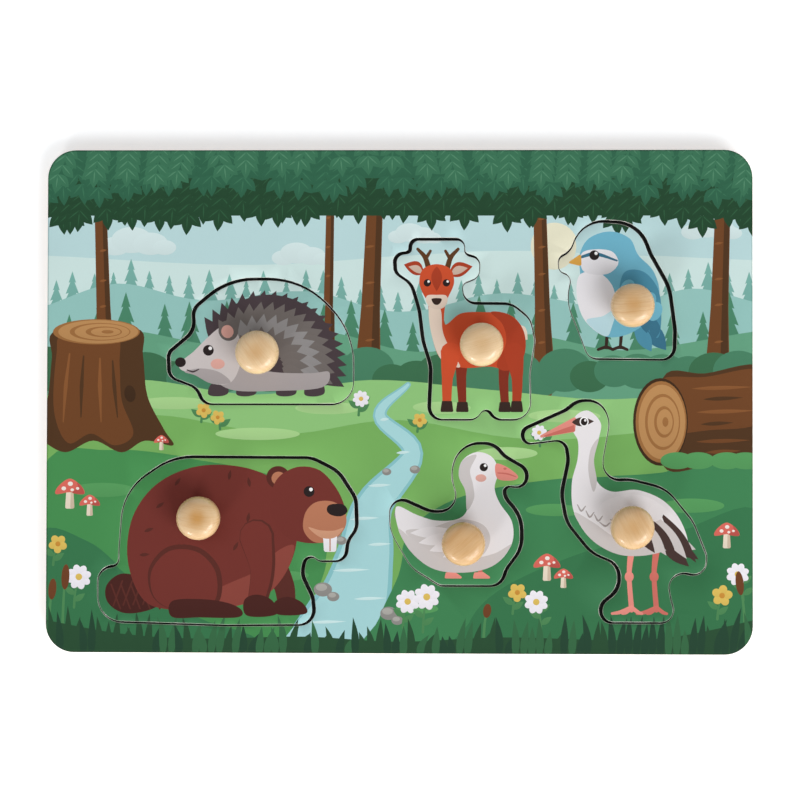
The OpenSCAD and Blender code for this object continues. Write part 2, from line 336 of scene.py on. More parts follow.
# goose, in mm from its knob: feet under one swept body, long wing feathers, beak
def drawGoose():
    art, add = newArt()
    # feet
    for x in (-5, 7):
        add("coralDeep", ribbon([(x, -9), (x + .2, -13)], [1.8, 1.8], n=4))
        add("coral", fillet([(x - 2.4, -12.4, .6), (x + 1.4, -12.2, .6), (x + 5.4, -15, .5),
                (x - 3, -15, .5)]))
    # body, neck and head in one sweep
    add("snow", blob([(5.5, 38.6), (-.5, 35), (-2, 28.5), (.8, 22), (1.5, 14), (-3, 10), (-12, 9.6),
            (-20, 12), (-28.4, 15.4), (-27.6, 6), (-22, -4), (-12, -11.2), (2, -12.4), (13.5, -9),
            (20.4, -.5), (20.6, 9), (15.4, 17), (13.2, 23.5), (14.8, 30.5), (12, 36.6)]))
    add("snowShade", blob([(-27.6, 6), (-22, -4), (-12, -11.2), (2, -12.4), (13.5, -9), (20.4, -.5),
            (13, -4.4), (2, -6.6), (-10, -5.4), (-20, .4)]))
    add("snowShade", blob([(-2, 28.5), (.8, 22), (1.5, 14), (4.5, 19), (4, 25), (2.8, 31), (5.5, 37.4),
            (-.5, 35)]))
    # wing: long feathers
    add("snowShade", blob([(8, 8), (11.4, 1.4), (7, -6), (-4, -8.4), (-14, -3.6), (-24.6, 4.8),
            (-14, 6.4), (-2, 10)]))
    for k, (x, y) in enumerate(((-22.6, 4.2), (-19, 0), (-14.4, -3.4), (-8.6, -6))):
        add("snow", leaf(-1 + k * 1.8, 5 - k * 1.2, x, y, 4.8, full=1.25))
    # beak
    add("coral", blob([(13.6, 33.4), (17, 33), (21.2, 30.4), (23.2, 28), (20.6, 26.6), (14.4, 27.4)]))
    add("coralDeep", ribbon([(14.6, 29.8), (18.6, 29.4), (22.2, 28.2)], [.5, .7, .4]))
    add("coralDeep", ellipse(17.6, 31.6, .7, .45))
    eye(add, 8.6, 32.2, 1.75)
    add("blush", ellipse(7.4, 27.6, 2.3, 1.6))
    return art


# stork, in mm from its knob: legs and tail under the body, dark and pale quills in turn, beak
def drawStork():
    art, add = newArt()
    # legs with knees and toes
    for x, ink in ((11, "coralDeep"), (.5, "coral")):
        add(ink, ribbon([(x, -8), (x - 1.2, -20), (x - .2, -35)], [3.0, 2.0, 2.2]))
        add(ink, ellipse(x - 1.2, -21, 1.9, 2.2))
        for toe in (-8.4, -4.0, 4.2):
            add(ink, ribbon([(x - .2, -34), (x + toe * .6, -36), (x + toe, -36.6)], [1.8, 1.6, 1.1]))
    # tail feathers
    for k, (x, y) in enumerate(((28.6, -13.6), (27.4, -9.4), (24.6, -16.6))):
        add("umber" if k != 1 else "snowShade", leaf(10, -2 - k, x, y, 5.4, full=1.2))
    # body and neck
    add("snow", blob([(-18, 45.6), (-23.4, 43.6), (-24.8, 38.6), (-22.4, 34), (-22.6, 27), (-25, 18),
            (-24, 6), (-17, -5), (-6, -11.4), (6, -12), (16, -9), (24, -8.6), (21.4, 2), (14, 11),
            (3, 15.6), (-8, 15), (-14.4, 19), (-15.6, 27), (-13.6, 35), (-12.8, 41)]))
    add("snowShade", blob([(-24, 6), (-17, -5), (-6, -11.4), (6, -12), (16, -9), (6, -6.4), (-6, -4.6),
            (-16, 2)]))
    add("snowShade", blob([(-14.4, 19), (-15.6, 27), (-13.6, 35), (-17, 31), (-18, 23), (-16, 15)]))
    # folded wing: dark and pale quills in turn
    add("snow", blob([(-13, 9), (-4, 13.4), (6, 13), (15, 7.6), (20, 0), (10, -4), (-2, -4), (-11, 0)]))
    tips = ((27.6, -15), (23.6, -13.4), (19.4, -12.8), (15, -12), (10.2, -11), (5.2, -9.6),
            (0.4, -7.8))
    for k, (x, y) in enumerate(tips):
        ink = "snowShade" if k % 2 else "umber"
        add(ink, leaf(12 - 3.4 * k, 7 - .4 * k, x, y, 5.2, full=1.15))
    for x, y, w in ((-9.6, 8, 3.4), (-5, 10, 3.6), (0, 11, 3.6), (5.4, 10.4, 3.4),
            (10.6, 7.8, 3.2)):
        add("snow", ellipse(x, y - 1.6, w, 3.8, -20, n=24))
    for x, y in ((-11.6, 4.6), (-7, 5.8), (-2, 6.2)):
        line = [(x - 1.6, y - 2.6), (x + .8, y - 4.2), (x + 2.8, y - 2.8)]
        add("snowDeep", ribbon(line, [.4, .9, .4], n=4))
    # neck plumes
    for x, y in ((-21, 8), (-17.4, 5.4), (-13.8, 3.8)):
        line = [(x - 1.6, y + 1.4), (x, y - 1.2), (x + 1.8, y + .8)]
        add("snowDeep", ribbon(line, [.4, .9, .4], n=4))
    # beak and eye
    add("coral", fillet([(-23, 43.6, .8), (-41.2, 34.8, .5), (-23.6, 37.6, .8)]))
    add("coralDeep", fillet([(-24, 40.2, .3), (-40.6, 34.9, .3), (-23.6, 37.8, .4)]))
    add("umber", leaf(-25, 41.2, -15.6, 41.6, 3.4))
    eye(add, -19.8, 41.4, 1.4, "white")
    # longer neck: what lies above y = 15 is drawn up by 12 in 100
    return [(ink, p + .12 * np.maximum(p - 15, 0) * (0, 1)) for ink, p in art]


# ground: the region between an open smooth line and a level floor
def bank(points, floor=-109):
    top = openCurve(points)
    return np.vstack([top, [(top[-1, 0], floor), (top[0, 0], floor)]])


# fir: half a stepped outline and its mirror image, scaled to a width and a height
def conifer(x, y, h, w):
    half = np.array([(0, 1), (.2, .66), (.11, .68), (.36, .33), (.2, .36), (.5, 0)])
    return np.vstack([half, half[:0:-1] * (-1, 1)]) * (w, h) + (x, y)


# flower: petals as ellipses set evenly round the middle, at 0.62 of its radius
def flower(add, x, y, r, count, petal, centre, turn=0, squeeze=.62):
    for a in np.arange(count) * 360 / count + turn:
        c, s = np.cos(np.radians(a)), np.sin(np.radians(a))
        add(petal, ellipse(x + .62 * r * c, y + .62 * r * s, .5 * r, .5 * r * squeeze, a, n=16))
    add(centre, ellipse(x, y, .3 * r, .3 * r, n=16))


# sprig: a stalk that leans with t^2, leaves to either side in turn; gives the place of its tip
def sprig(add, x, y, h, lean, leaves, ink):
    top = np.array([x + lean, y + h])
    add(ink, ribbon([(x, y), (x + .25 * lean, y + .5 * h), top], [1.1, .9, .7], n=5, cap=3))
    for k in range(leaves):
        t = .2 + .22 * k
        side = -1 if k % 2 else 1
        bx, by = x + lean * t * t, y + h * t
        add(ink, leaf(bx, by, bx + side * 4.6, by + 3.4, 2.6, n=8))
    return top


# toadstool: stem, cap and their shaded sides in units of its size, and dots on the cap
def toadstool(add, x, y, s):
    def at(u, v, *more):
        return (x + u * s, y + v * s, *more)

    low, high = .08 * s, .1
    add("stem", fillet([at(-.2, 0, low), at(.2, 0, low), at(.15, .8, high), at(-.15, .8, high)]))
    add("stemShade", fillet([at(.02, 0, low), at(.2, 0, low), at(.15, .8, high), at(.04, .8, high)]))
    add("cap", blob([at(-.6, .62), at(-.5, .95), at(0, 1.28), at(.5, .95), at(.6, .62), at(0, .7)]))
    add("capShade", blob([at(.1, .68), at(.34, .9), at(.3, 1.12), at(.5, .95), at(.6, .62)]))
    for dx, dy, r in ((-.26, .86, .1), (.02, 1.06, .11), (.1, .8, .075), (.33, .86, .07)):
        add("dot", ellipse(*at(dx, dy), r * s, r * s * .85, n=16))


# cattail: a leaning stalk and a long ellipse turned along it near the top
def cattail(add, x, y, h, lean):
    stalk = [(x, y), (x + .3 * lean, y + .55 * h), (x + lean, y + h)]
    add("bladeLight", ribbon(stalk, [1.3, 1.1, .6], n=6, cap=3))
    a = np.degrees(np.arctan2(h, lean * 1.3))
    add("cattail", ellipse(x + lean * .86, y + h * .86, .15 * h, 1.7, a, n=22))


# hanging bough: pairs of leaves along a rib that swings to one side with t^2, and one at its tip
def bough(add, x, y, length, swing, size, ink, vein):
    reach = length - .8 * size
    rib = [(x, y), (x + .25 * swing, y - .5 * reach), (x + swing, y - reach)]
    add(ink, ribbon(rib, [1.2, 1, .7], n=4, cap=2))
    for t in np.linspace(1, .1, round(reach / (.5 * size)) + 1):
        bx, by = x + swing * t * t, y - reach * t
        for side in (0, -1, 1) if t == 1 else (-1, 1):
            a = np.radians(-90 + 47 * side + 2 * swing)
            d = (1 - .12 * abs(side)) * size * np.array([np.cos(a), np.sin(a)])
            add(ink, leaf(bx, by, bx + d[0], by + d[1], size * .48, n=9, full=.9))
            add(vein, leaf(bx, by, bx + .75 * d[0], by + .75 * d[1], .55, n=5))


# picture on the board, from the back to the front: sky, ridges, woods, meadow, stream, banks, stump,
# log, flowers, grass and boughs; heights and leans come from one seeded row of random numbers
def drawMeadow():
    art, add = newArt()
    rng = np.random.default_rng(7)
    add("sky", rectangle((-152, -109), (152, 109)))
    add("skyLow", bank([(-152, 62), (-60, 58), (40, 64), (152, 60)]))
    add("sun", ellipse(66, 66, 10, 10))
    for x, y, s in ((-112, 66, 1.0), (-42, 61, .8), (6, 70, .7), (132, 72, .8)):
        for dx, dy, r in ((-9, 0, 5), (-2, 2.6, 7), (6, 1, 6), (12, -.6, 4)):
            add("cloud", ellipse(x + dx * s, y + dy * s, r * s * 1.25, r * s * .8))
    # two ridges, each with a line of firs behind it
    far = [(-152, 40), (-120, 50), (-84, 43), (-40, 47), (0, 38), (44, 46), (92, 40), (124, 48), (152, 42)]
    near = [(-152, 22), (-118, 30), (-76, 24), (-34, 30), (8, 21), (50, 29), (96, 22), (152, 30)]
    for ink, ridge, first, step, least, more, play, slim in (
            ("mist", far, -148, 8.2, 9, 7, 2, .55), ("hill", near, -144, 13.5, 15, 8, 4, .52)):
        for x in np.arange(first, 150, step):
            h = least + more * rng.random()
            foot = np.interp(x, *np.transpose(ridge)) - 3
            add(ink + "Tree", conifer(x + play * rng.random(), foot, h, h * slim))
        add(ink, bank(ridge))
    # slender trunks that reach up into the leaves
    for x, w, lean in ((-12, 8, 2.4), (-126, 6, -2), (61, 6.4, -1.6), (136, 7.5, 2), (-30, 4, 1)):
        line = [(x - .6 * lean, 6), (x, 40), (x + lean, 100)]
        shade = [(x - .6 * lean + w * .42, 6), (x + w * .3, 40), (x + lean + w * .22, 100)]
        add("trunk", ribbon(line, [w * 1.5, w, w * .8], n=6, cap=2))
        add("trunkDark", ribbon(shade, [w * .5, w * .34, w * .26], n=6, cap=2))
        for k in range(5):
            y = 24 + 13 * k + 4 * rng.random()
            add("trunkLight", leaf(x - w * .3, y, x + w * .22, y + .6, 1.1, n=7))
    # rounded bushes where the meadow begins
    for x in np.arange(-150, 152, 10.5):
        r = 6.5 + 3.4 * rng.random()
        add("bushDark" if rng.random() < .45 else "bush", ellipse(x, 9 + 5 * rng.random(), r * 1.25, r))
    add("meadow", bank([(-152, 2), (-112, 9), (-62, 3), (-12, 9), (40, 5), (92, 1), (152, 8)]))
    add("meadowLow", bank([(-152, -12), (-104, -6), (-50, -14), (0, -8), (60, -16), (152, -8)]))
    for x, y, w in ((-96, -1, 16), (-30, -3, 14), (18, -2.5, 12), (70, -6, 15), (-60, -14, 18),
            (46, -22, 13)):
        add("grassLight", ellipse(x, y, w, 2.6))
    # stream
    run = [(4, 7), (-8, -6), (6, -22), (-10, -44), (-14, -66), (-20, -88), (-34, -112)]
    add("waterEdge", ribbon(run, [2.4, 6, 9, 17, 24, 32, 42], n=8))
    add("water", ribbon(run, [1.2, 4.2, 6.6, 14, 20.5, 28, 37], n=8))
    for x, y, w in ((-6, -8, 2), (2, -22, 3), (-8, -36, 5), (-14, -50, 6), (-8, -61, 5),
            (-20, -72, 8), (-12, -84, 7), (-30, -94, 8)):
        add("ripple", leaf(x - w, y, x + w, y + .5, 1.3, n=9))
    # banks on either side
    add("bankLeft", blob([(-152, -30), (-122, -21), (-84, -25), (-52, -32), (-32, -46), (-30, -66),
            (-38, -86), (-60, -109), (-110, -114), (-154, -112)]))
    add("bankRight", blob([(154, -22), (112, -30), (66, -33), (28, -40), (6, -54), (0, -74), (-8, -92),
            (-12, -112), (80, -114), (156, -112)]))
    add("bankDeep", blob([(154, -48), (120, -54), (84, -62), (46, -78), (30, -94), (30, -112),
            (156, -112)]))
    add("bankDeep", blob([(-154, -58), (-132, -60), (-112, -76), (-84, -92), (-60, -101), (-60, -112),
            (-154, -112)]))
    for x, y, w, h in ((-126, -38, 14, 3), (-64, -38, 16, 3), (24, -56, 12, 2.6),
            (66, -46, 12, 2.6), (124, -44, 14, 3), (8, -88, 9, 2.2), (-46, -74, 8, 2)):
        add("patch", ellipse(x, y, w, h))
    # pebbles along the water
    for x, y, r in ((-27, -56, 2.6), (-23.6, -59, 1.8), (2, -48, 2.4), (5.4, -50.6, 1.6),
            (-32, -80, 3), (-27.6, -83, 2), (-4, -90, 2.8), (-.4, -93, 1.9), (7, -29, 1.7),
            (-5, -30, 1.5)):
        add("stone", ellipse(x, y, r * 1.3, r))
        add("stoneLight", ellipse(x - .2 * r, y + .3 * r, r * .8, r * .5))
    # broad stump on the left with rings on its sawn top
    add("trunkDark", blob([(-148, 18), (-146, 30), (-112, 31), (-109, 19), (-107, 2), (-100, -12),
            (-96, -19), (-108, -17), (-118, -22), (-130, -17), (-142, -22), (-152, -17), (-156, -14),
            (-150, 0)]))
    add("trunk", blob([(-146, 20), (-143, 28), (-121, 29), (-119, 15), (-118, 0), (-113, -14),
            (-121, -19), (-131, -14), (-141, -18), (-147, -4)]))
    for k, x in enumerate((-141, -135, -128, -122.6)):
        line = [(x + .6, 20 - k), (x - 1 + .8 * k, 6), (x - 2 + 1.6 * k, -9 + 2 * (k % 2))]
        add("trunkDark" if k % 2 else "trunkLight", ribbon(line, [.7, 1.7, .5], n=6, cap=2))
    add("rootDark", ellipse(-114.5, 3, 2.4, 3.6, 8))
    for k, (s, ink) in enumerate(((1, "ringDark"), (.92, "ring"), (.7, "ringDark"), (.63, "ring"),
            (.42, "ringDark"), (.34, "ring"), (.14, "ringDark"))):
        add(ink, ellipse(-129 + .8 * k, 29.4, 18.6 * s, 5.4 * s))
    # fallen log on the right
    add("trunkDark", blob([(112, 10), (130, 12), (154, 15), (158, -6), (154, -25), (132, -27),
            (112, -27)]))
    add("trunk", blob([(110, 8.5), (130, 10.5), (154, 13), (154, -8), (132, -12), (110, -12)]))
    for y, x0, x1, ink in ((5.5, 124, 150, "trunkLight"), (1, 129, 146, "trunkDark"),
            (-4.5, 126, 151, "trunkLight"), (-9.6, 128, 142, "trunkDark"),
            (-17, 126, 149, "trunk"), (-21.5, 130, 145, "trunk")):
        add(ink, leaf(x0, y, x1, y + .8, 1.7))
    for k, (s, ink) in enumerate(((1, "rootDark"), (.93, "ringDark"), (.85, "ring"),
            (.64, "ringDark"), (.57, "ring"), (.36, "ringDark"), (.29, "ring"), (.11, "ringDark"))):
        add(ink, ellipse(111 + .3 * k, -8.6, 11.6 * s, 18.6 * s))
    for x in (118, 127, 139, 147):
        add("patch", ellipse(x, -25, 7, 3.6))
    # toadstools, daisies and buttercups
    for x, y, s in ((-140, -46, 10), (-131.5, -49, 7), (63, -76, 9), (70, -79, 6.4),
            (139, -62, 8.5), (-101, -21, 5)):
        toadstool(add, x, y, s)
    for x, y, h, lean, r in ((2, -96, 11, 2, 4.6), (10.5, -98, 15, 1.6, 5),
            (60.5, -97, 12, -2, 4.6), (-138, -88, 13, 2, 4.8), (146, -84, 11, -2.4, 4.4),
            (-17, -6, 7, 1, 3.2), (60, -19, 6, -1, 3)):
        top = sprig(add, x, y, h, lean, 3, "bladeLight")
        flower(add, *top, r, 8, "petal", "gold", 10 * x, .7)
    for x, y, h, lean, r in ((-147, -70, 9, 2, 3.6), (48.5, -90, 9, 2, 3.6), (135, -92, 10, 2, 4),
            (-84, -9, 5, 1, 3), (-76, -12, 5, -1, 2.8), (8, -13, 5, 1, 2.8)):
        top = sprig(add, x, y, h, lean, 2, "bladeLight")
        flower(add, *top, r, 5, "gold", "goldDark", 7 * x, .9)
    # dark grass and cattails along the front
    for x, h, lean in ((-149, 30, 2), (-143, 36, 1.5), (36, 20, 2), (147, 34, -3)):
        cattail(add, x, -106, h, lean)
    add("front", bank([(-152, -93), (-118, -99), (-84, -101), (-40, -100), (0, -102), (44, -100),
            (92, -101), (120, -99), (152, -92)]))
    for x in np.arange(-150, 152, 3.4):
        h = 8 + 9 * rng.random() + 5 * (abs(x) / 150) ** 2
        lean = 7 * (rng.random() - .5)
        ink = ("front", "frontDark", "blade")[int(3 * rng.random())]
        add(ink, leaf(x - 1, -109, x + lean, -108 + h, 3.4, n=8, bow=lean * .3, full=.7))
    # leafy boughs along the top, three rows deep
    for step, top, band, reach, size, ink, vein in (
            (6.6, 98, 79, 21, 9.5, "leafDark", "leafVein"),
            (8.2, 106, 95, 17, 9, "canopy", "canopyRim"),
            (12.6, 110, 109, 15, 8.4, "canopyRim", "canopyVein")):
        add(ink, rectangle((-152, band), (152, 110)))
        for x in np.arange(-154, 158, step):
            length = reach + 6 * (rng.random() - .5) + 5 * (x / 150) ** 2
            x += 3 * (rng.random() - .5)
            bough(add, x, top, length, 8 * (rng.random() - .5), size, ink, vein)
    return art


# linear light from a hex ink: c / 12.92 below 0.04045, ((c + 0.055) / 1.055)^2.4 above
def linear(code):
    c = np.array([int(code[k:k + 2], 16) for k in (1, 3, 5)]) / 255
    return np.where(c <= 0.04045, c / 12.92, ((c + 0.055) / 1.055) ** 2.4)


# a node's box: its low and its high corner in mm
def boxOf(node):
    return [np.array(corner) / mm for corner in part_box(node)]


# new object for a mesh, a lamp or a camera, linked into the scene
def addObject(name, data):
    made = bpy.data.objects.new(name, data)
    bpy.context.scene.collection.objects.link(made)
    return made


# puts arrays of triangles and quads (points in mm) into a mesh and makes it a piece of the object;
# each face starts at the sum of the face sizes before it
def makePiece(name, points, faceSets, node, body, material):
    corners = np.concatenate([f.ravel() for f in faceSets]).astype(np.int32)
    sizes = np.concatenate([np.full(len(f), f.shape[1]) for f in faceSets])
    mesh = bpy.data.meshes.new(name)
    mesh.vertices.add(len(points))
    mesh.vertices.foreach_set("co", (points * mm).astype(np.float32).ravel())
    mesh.loops.add(len(corners))
    mesh.loops.foreach_set("vertex_index", corners)
    mesh.polygons.add(len(sizes))
    mesh.polygons.foreach_set("loop_start", (np.cumsum(sizes) - sizes).astype(np.int32))
    mesh.update(calc_edges=True)
    mesh.materials.append(material)
    piece = addObject(name, mesh)
    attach(piece, body)
    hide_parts(node)
    return mesh


# stores an array on a mesh: a value, a vector or a colour for each point, face or corner
def mark(mesh, name, kind, domain, values):
    field = dict(FLOAT="value", FLOAT_VECTOR="vector", FLOAT_COLOR="color")[kind]
    mesh.attributes.new(name, kind, domain).data.foreach_set(field, np.ravel(values).astype(np.float32))


# smooth shading, with a crease where faces meet at more than the limit in degrees
def smooth(mesh, limit=50):
    mesh.shade_smooth()
    mesh.set_sharp_from_angle(angle=np.radians(limit))


# rows of flat outlines (row, point, xy), each row at its own height, as one list of points
def stackRows(flat, heights):
    tall = np.broadcast_to(heights[:, None, None], (*flat.shape[:2], 1))
    return np.concatenate([flat, tall], 2).reshape(-1, 3)


# quads between neighbouring rows of a grid of point numbers that closes on itself sideways
def gridQuads(grid):
    right = np.roll(grid, -1, 1)
    return np.stack([grid[:-1], right[:-1], right[1:], grid[1:]], 2).reshape(-1, 4)


# directed edges joined into closed rings: the next-vertex table is doubled until a ring repeats
def joinRings(edges, count):
    after = np.arange(count)
    after[edges[:, 0]] = edges[:, 1]
    left = np.unique(edges)
    rings = []
    while len(left):
        ring, hop = left[:1], after
        while len(ring) == len(np.unique(ring)):
            ring = np.concatenate([ring, hop[ring]])
            hop = hop[hop]
        ring = ring[:np.flatnonzero(ring == ring[0])[1]]
        rings.append(ring)
        left = np.setdiff1d(left, ring)
    return rings


# edges of the triangles that no neighbour runs along the other way
def rimEdges(tris, count):
    edges = np.vstack([tris[:, [0, 1]], tris[:, [1, 2]], tris[:, [2, 0]]])
    there, back = edges @ (count, 1), edges @ (1, count)
    return edges[~np.isin(there, back)]


# signed area: half the sum of x1 y2 - x2 y1 over the sides, positive when counter-clockwise
def ringArea(ring):
    x, y = ring.T
    return 0.5 * (x * np.roll(y, -1) - np.roll(x, -1) * y).sum()


# outlines of a node's upper face in mm, outer ring first; the material lies to the left
def topRings(node, digits=3):
    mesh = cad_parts[node].data
    co = np.empty(len(mesh.vertices) * 3)
    mesh.vertices.foreach_get("co", co)
    co = co.reshape(-1, 3) / mm
    mesh.calc_loop_triangles()
    tris = np.empty(len(mesh.loop_triangles) * 3, np.int32)
    mesh.loop_triangles.foreach_get("vertices", tris)
    tris = tris.reshape(-1, 3)
    tris = tris[(co[tris][:, :, 2] > co[:, 2].max() - 10.0 ** -digits).all(1)]
    flat, same = np.unique(co[:, :2].round(digits), axis=0, return_inverse=True)
    tris = same.ravel()[tris]
    rings = [flat[r] for r in joinRings(rimEdges(tris, len(flat)), len(flat))]
    return sorted(rings, key=lambda ring: -ringArea(ring))


# unit normals to the left of a ring, mitred: (n1 + n2) / (1 + n1 . n2)
def leftNormals(ring):
    d = np.roll(ring, -1, 0) - ring
    d /= np.linalg.norm(d, axis=1)[:, None]
    n = np.stack([-d[:, 1], d[:, 0]], 1)
    before = np.roll(n, 1, 0)
    return (before + n) / (1 + (before * n).sum(1)[:, None])


# triangles between overlapping outlines, and for each triangle the outlines that cover it
def triangulate(outlines, nearest=1e-5):
    outlines = [p if ringArea(p) > 0 else p[::-1] for p in outlines]
    ends = np.cumsum([len(p) for p in outlines]).tolist()
    faces = [list(range(end - len(p), end)) for end, p in zip(ends, outlines)]
    corners = np.vstack(outlines).tolist()
    verts, _, tris, oldVerts, _, covers = delaunay_2d_cdt(corners, [], faces, 0, nearest, True)
    return np.array(verts)[:, :2], np.array(tris), oldVerts, covers


# flat fill between an outer ring and its holes, as triangles over the stacked ring points: where
# just two outlines cover, the box round them all and the outer ring, there is no hole
def fillRings(rings, margin=5):
    box = rectangle(rings[0].min(0) - margin, rings[0].max(0) + margin)
    starts = np.cumsum([0] + [len(r) for r in rings[:-1]])
    ways = [1 if ringArea(r) > 0 else -1 for r in rings]
    order = [start + np.arange(len(r))[::way] for r, start, way in zip(rings, starts, ways)]
    _, tris, oldVerts, covers = triangulate([box] + rings)
    firstOld = np.fromiter((old[0] for old in oldVerts), int)
    depth = np.fromiter(map(len, covers), int)
    return np.concatenate(order)[firstOld[tris[depth == 2]] - len(box)]


# sets a node's inputs: sockets are linked, hex inks turned to linear light, values written in
def feed(tree, node, inputs):
    for key, value in inputs.items():
        if isinstance(value, bpy.types.NodeSocket):
            tree.links.new(value, node.inputs[key])
        else:
            coloured = isinstance(value, str)
            node.inputs[key].default_value = (*linear(value).tolist(), 1.0) if coloured else value
    return node


# new shader node of a kind, with its settings and inputs
def place(tree, kind, inputs=None, **settings):
    node = tree.nodes.new("ShaderNode" + kind)
    for key, value in settings.items():
        setattr(node, key, value)
    return feed(tree, node, inputs or {})


# a mesh attribute by its name: its value, or its colour, vector or alpha
def read(tree, name, output="Fac"):
    return place(tree, "Attribute", attribute_name=name).outputs[output]


# one operation on up to three values
def reckon(tree, operation, a, b=0.0, c=0.0):
    return place(tree, "Math", {0: a, 1: b, 2: c}, operation=operation).outputs[0]


# product of two values
def times(tree, a, b):
    return reckon(tree, "MULTIPLY", a, b)


# base + amount (value - 1/2): a base swayed by noise
def sway(tree, value, amount, base=0.0):
    return reckon(tree, "MULTIPLY_ADD", reckon(tree, "SUBTRACT", value, 0.5), amount, base)


# smooth step of a value from low to high, laid onto a new span
def spread(tree, value, low, high, span=(0.0, 1.0)):
    inputs = {"Value": value, "From Min": low, "From Max": high, "To Min": span[0], "To Max": span[1]}
    return place(tree, "MapRange", inputs, interpolation_type="SMOOTHSTEP").outputs[0]


# x, y and z of a vector
def axesOf(tree, vector):
    return place(tree, "SeparateXYZ", {0: vector}).outputs


# a vector times a scale, axis by axis
def stretch(tree, vector, scale):
    return place(tree, "VectorMath", {0: vector, 1: scale}, operation="MULTIPLY").outputs[0]


# fractal noise at a place
def noise(tree, vector, scale, detail=2.0):
    return place(tree, "TexNoise", {"Vector": vector, "Scale": scale, "Detail": detail}).outputs[0]


# fractal noise along one value
def lineNoise(tree, value, scale, detail, rough=0.5):
    inputs = {"W": value, "Scale": scale, "Detail": detail, "Roughness": rough}
    return place(tree, "TexNoise", inputs, noise_dimensions="1D").outputs[0]


# colour a + share (b - a), or another blend of the two
def mix(tree, share, a, b, blend="MIX"):
    return place(tree, "Mix", {0: share, 6: a, 7: b}, data_type="RGBA", blend_type=blend).outputs[2]


# normal bent by the slope of a height that spans a distance in metres
def bump(tree, height, strength, distance):
    return place(tree, "Bump", {"Height": height, "Strength": strength, "Distance": distance}).outputs[0]


# empty material with its tree and its shader
def newMaterial(name):
    material = bpy.data.materials.new(name)
    material.use_nodes = True
    return material, material.node_tree, material.node_tree.nodes["Principled BSDF"]


grainLook = dict(slow=(70, 210, 210), fine=(420, 4200, 4200), seedTurns=37.0, yearRough=0.6,
                 band=(0.36, 0.66), line=(0.5, 0.72), pore=(0.60, 0.74), bandHeight=0.35)


# wood grain: layers across y that lean with height and wander with slow noise, read as uneven
# bands with thin lines at their dark side; pores are fine noise drawn out along the grain
def makeWoodGrain():
    look = grainLook
    tree = bpy.data.node_groups.new("woodGrain", "ShaderNodeTree")
    sockets = [("Place", "INPUT", "Vector")]
    sockets += [(name, "INPUT", "Float") for name in ("Spacing", "Wander", "Lean", "Seed")]
    sockets += [(name, "OUTPUT", "Float") for name in ("Bands", "Lines", "Pores", "Height")]
    for name, side, kind in sockets:
        tree.interface.new_socket(name=name, in_out=side, socket_type="NodeSocket" + kind)
    given = tree.nodes.new("NodeGroupInput").outputs
    where, seed = given["Place"], given["Seed"]
    seeded = place(tree, "VectorMath", {0: where, 1: seed}, operation="ADD").outputs[0]
    axes = axesOf(tree, where)
    slow = noise(tree, stretch(tree, seeded, look["slow"]), scale=1.0, detail=3.0)
    across = sway(tree, slow, given["Wander"], axes["Y"])
    across = reckon(tree, "MULTIPLY_ADD", axes["Z"], given["Lean"], across)
    layer = reckon(tree, "DIVIDE", across, given["Spacing"])
    layer = reckon(tree, "MULTIPLY_ADD", seed, look["seedTurns"], layer)
    years = lineNoise(tree, layer, scale=1.0, detail=2.0, rough=look["yearRough"])
    bands = spread(tree, years, *look["band"])
    pores = spread(tree, noise(tree, stretch(tree, seeded, look["fine"]), scale=1.0), *look["pore"])
    feed(tree, tree.nodes.new("NodeGroupOutput"), {
        "Bands": bands,
        "Lines": spread(tree, years, *look["line"]),
        "Pores": pores,
        "Height": reckon(tree, "SUBTRACT", times(tree, bands, look["bandHeight"]), pores)})
    return tree


woodGrain = makeWoodGrain()


# the grain place of a mesh and the wood grain there
def grainOf(tree, **given):
    where = read(tree, "grainPlace", "Vector")
    given.update(Place=where, Seed=read(tree, "grainSeed"))
    return where, place(tree, "Group", given, node_tree=woodGrain).outputs


# grain coordinates in metres about a centre, turned so that the grain runs along x
def grainPlace(mesh, points, centre, turn, seed):
    a = np.radians(turn)
    p = (points - (*centre, 0)) * mm
    x = np.cos(a) * p[:, 0] + np.sin(a) * p[:, 1]
    y = np.cos(a) * p[:, 1] - np.sin(a) * p[:, 0]
    mark(mesh, "grainPlace", "FLOAT_VECTOR", "POINT", np.stack([x, y, p[:, 2]], 1))
    mark(mesh, "grainSeed", "FLOAT", "POINT", np.full(len(points), seed))


paperLook = dict(rough=(0.49, 0.61), specular=0.1, mottle=0.05, mottleScale=2600.0, mottleSpan=(0.2, 0.8),
                 cloud=0.05, cloudScale=34.0, fibreLie=(1.0, 1.6, 1.0), fibreScale=3400.0,
                 fibreHeight=0.00002, relief=0.35, back="#E9E6DF")


# printed paper: the ink of each shape times 1 + mottle (fine noise - 1/2) + cloud (slow noise - 1/2);
# the fine noise sways the gloss too, and noise drawn out one way stands up as fibres
def makePrintedPaper():
    look = paperLook
    material, tree, shader = newMaterial("printedPaper")
    where = place(tree, "TexCoord").outputs["Object"]
    mottle = noise(tree, where, look["mottleScale"], detail=3.0)
    cloud = noise(tree, where, look["cloudScale"], detail=3.0)
    fibre = noise(tree, stretch(tree, where, look["fibreLie"]), look["fibreScale"], detail=4.0)
    tone = sway(tree, cloud, look["cloud"], sway(tree, mottle, look["mottle"], 1.0))
    feed(tree, shader, {
        "Base Color": mix(tree, 1.0, read(tree, "ink", "Color"), tone, "MULTIPLY"),
        "Roughness": spread(tree, mottle, *look["mottleSpan"], look["rough"]),
        "Specular IOR Level": look["specular"],
        "Normal": bump(tree, fibre, look["relief"], look["fibreHeight"])})
    return material


printedPaper = makePrintedPaper()

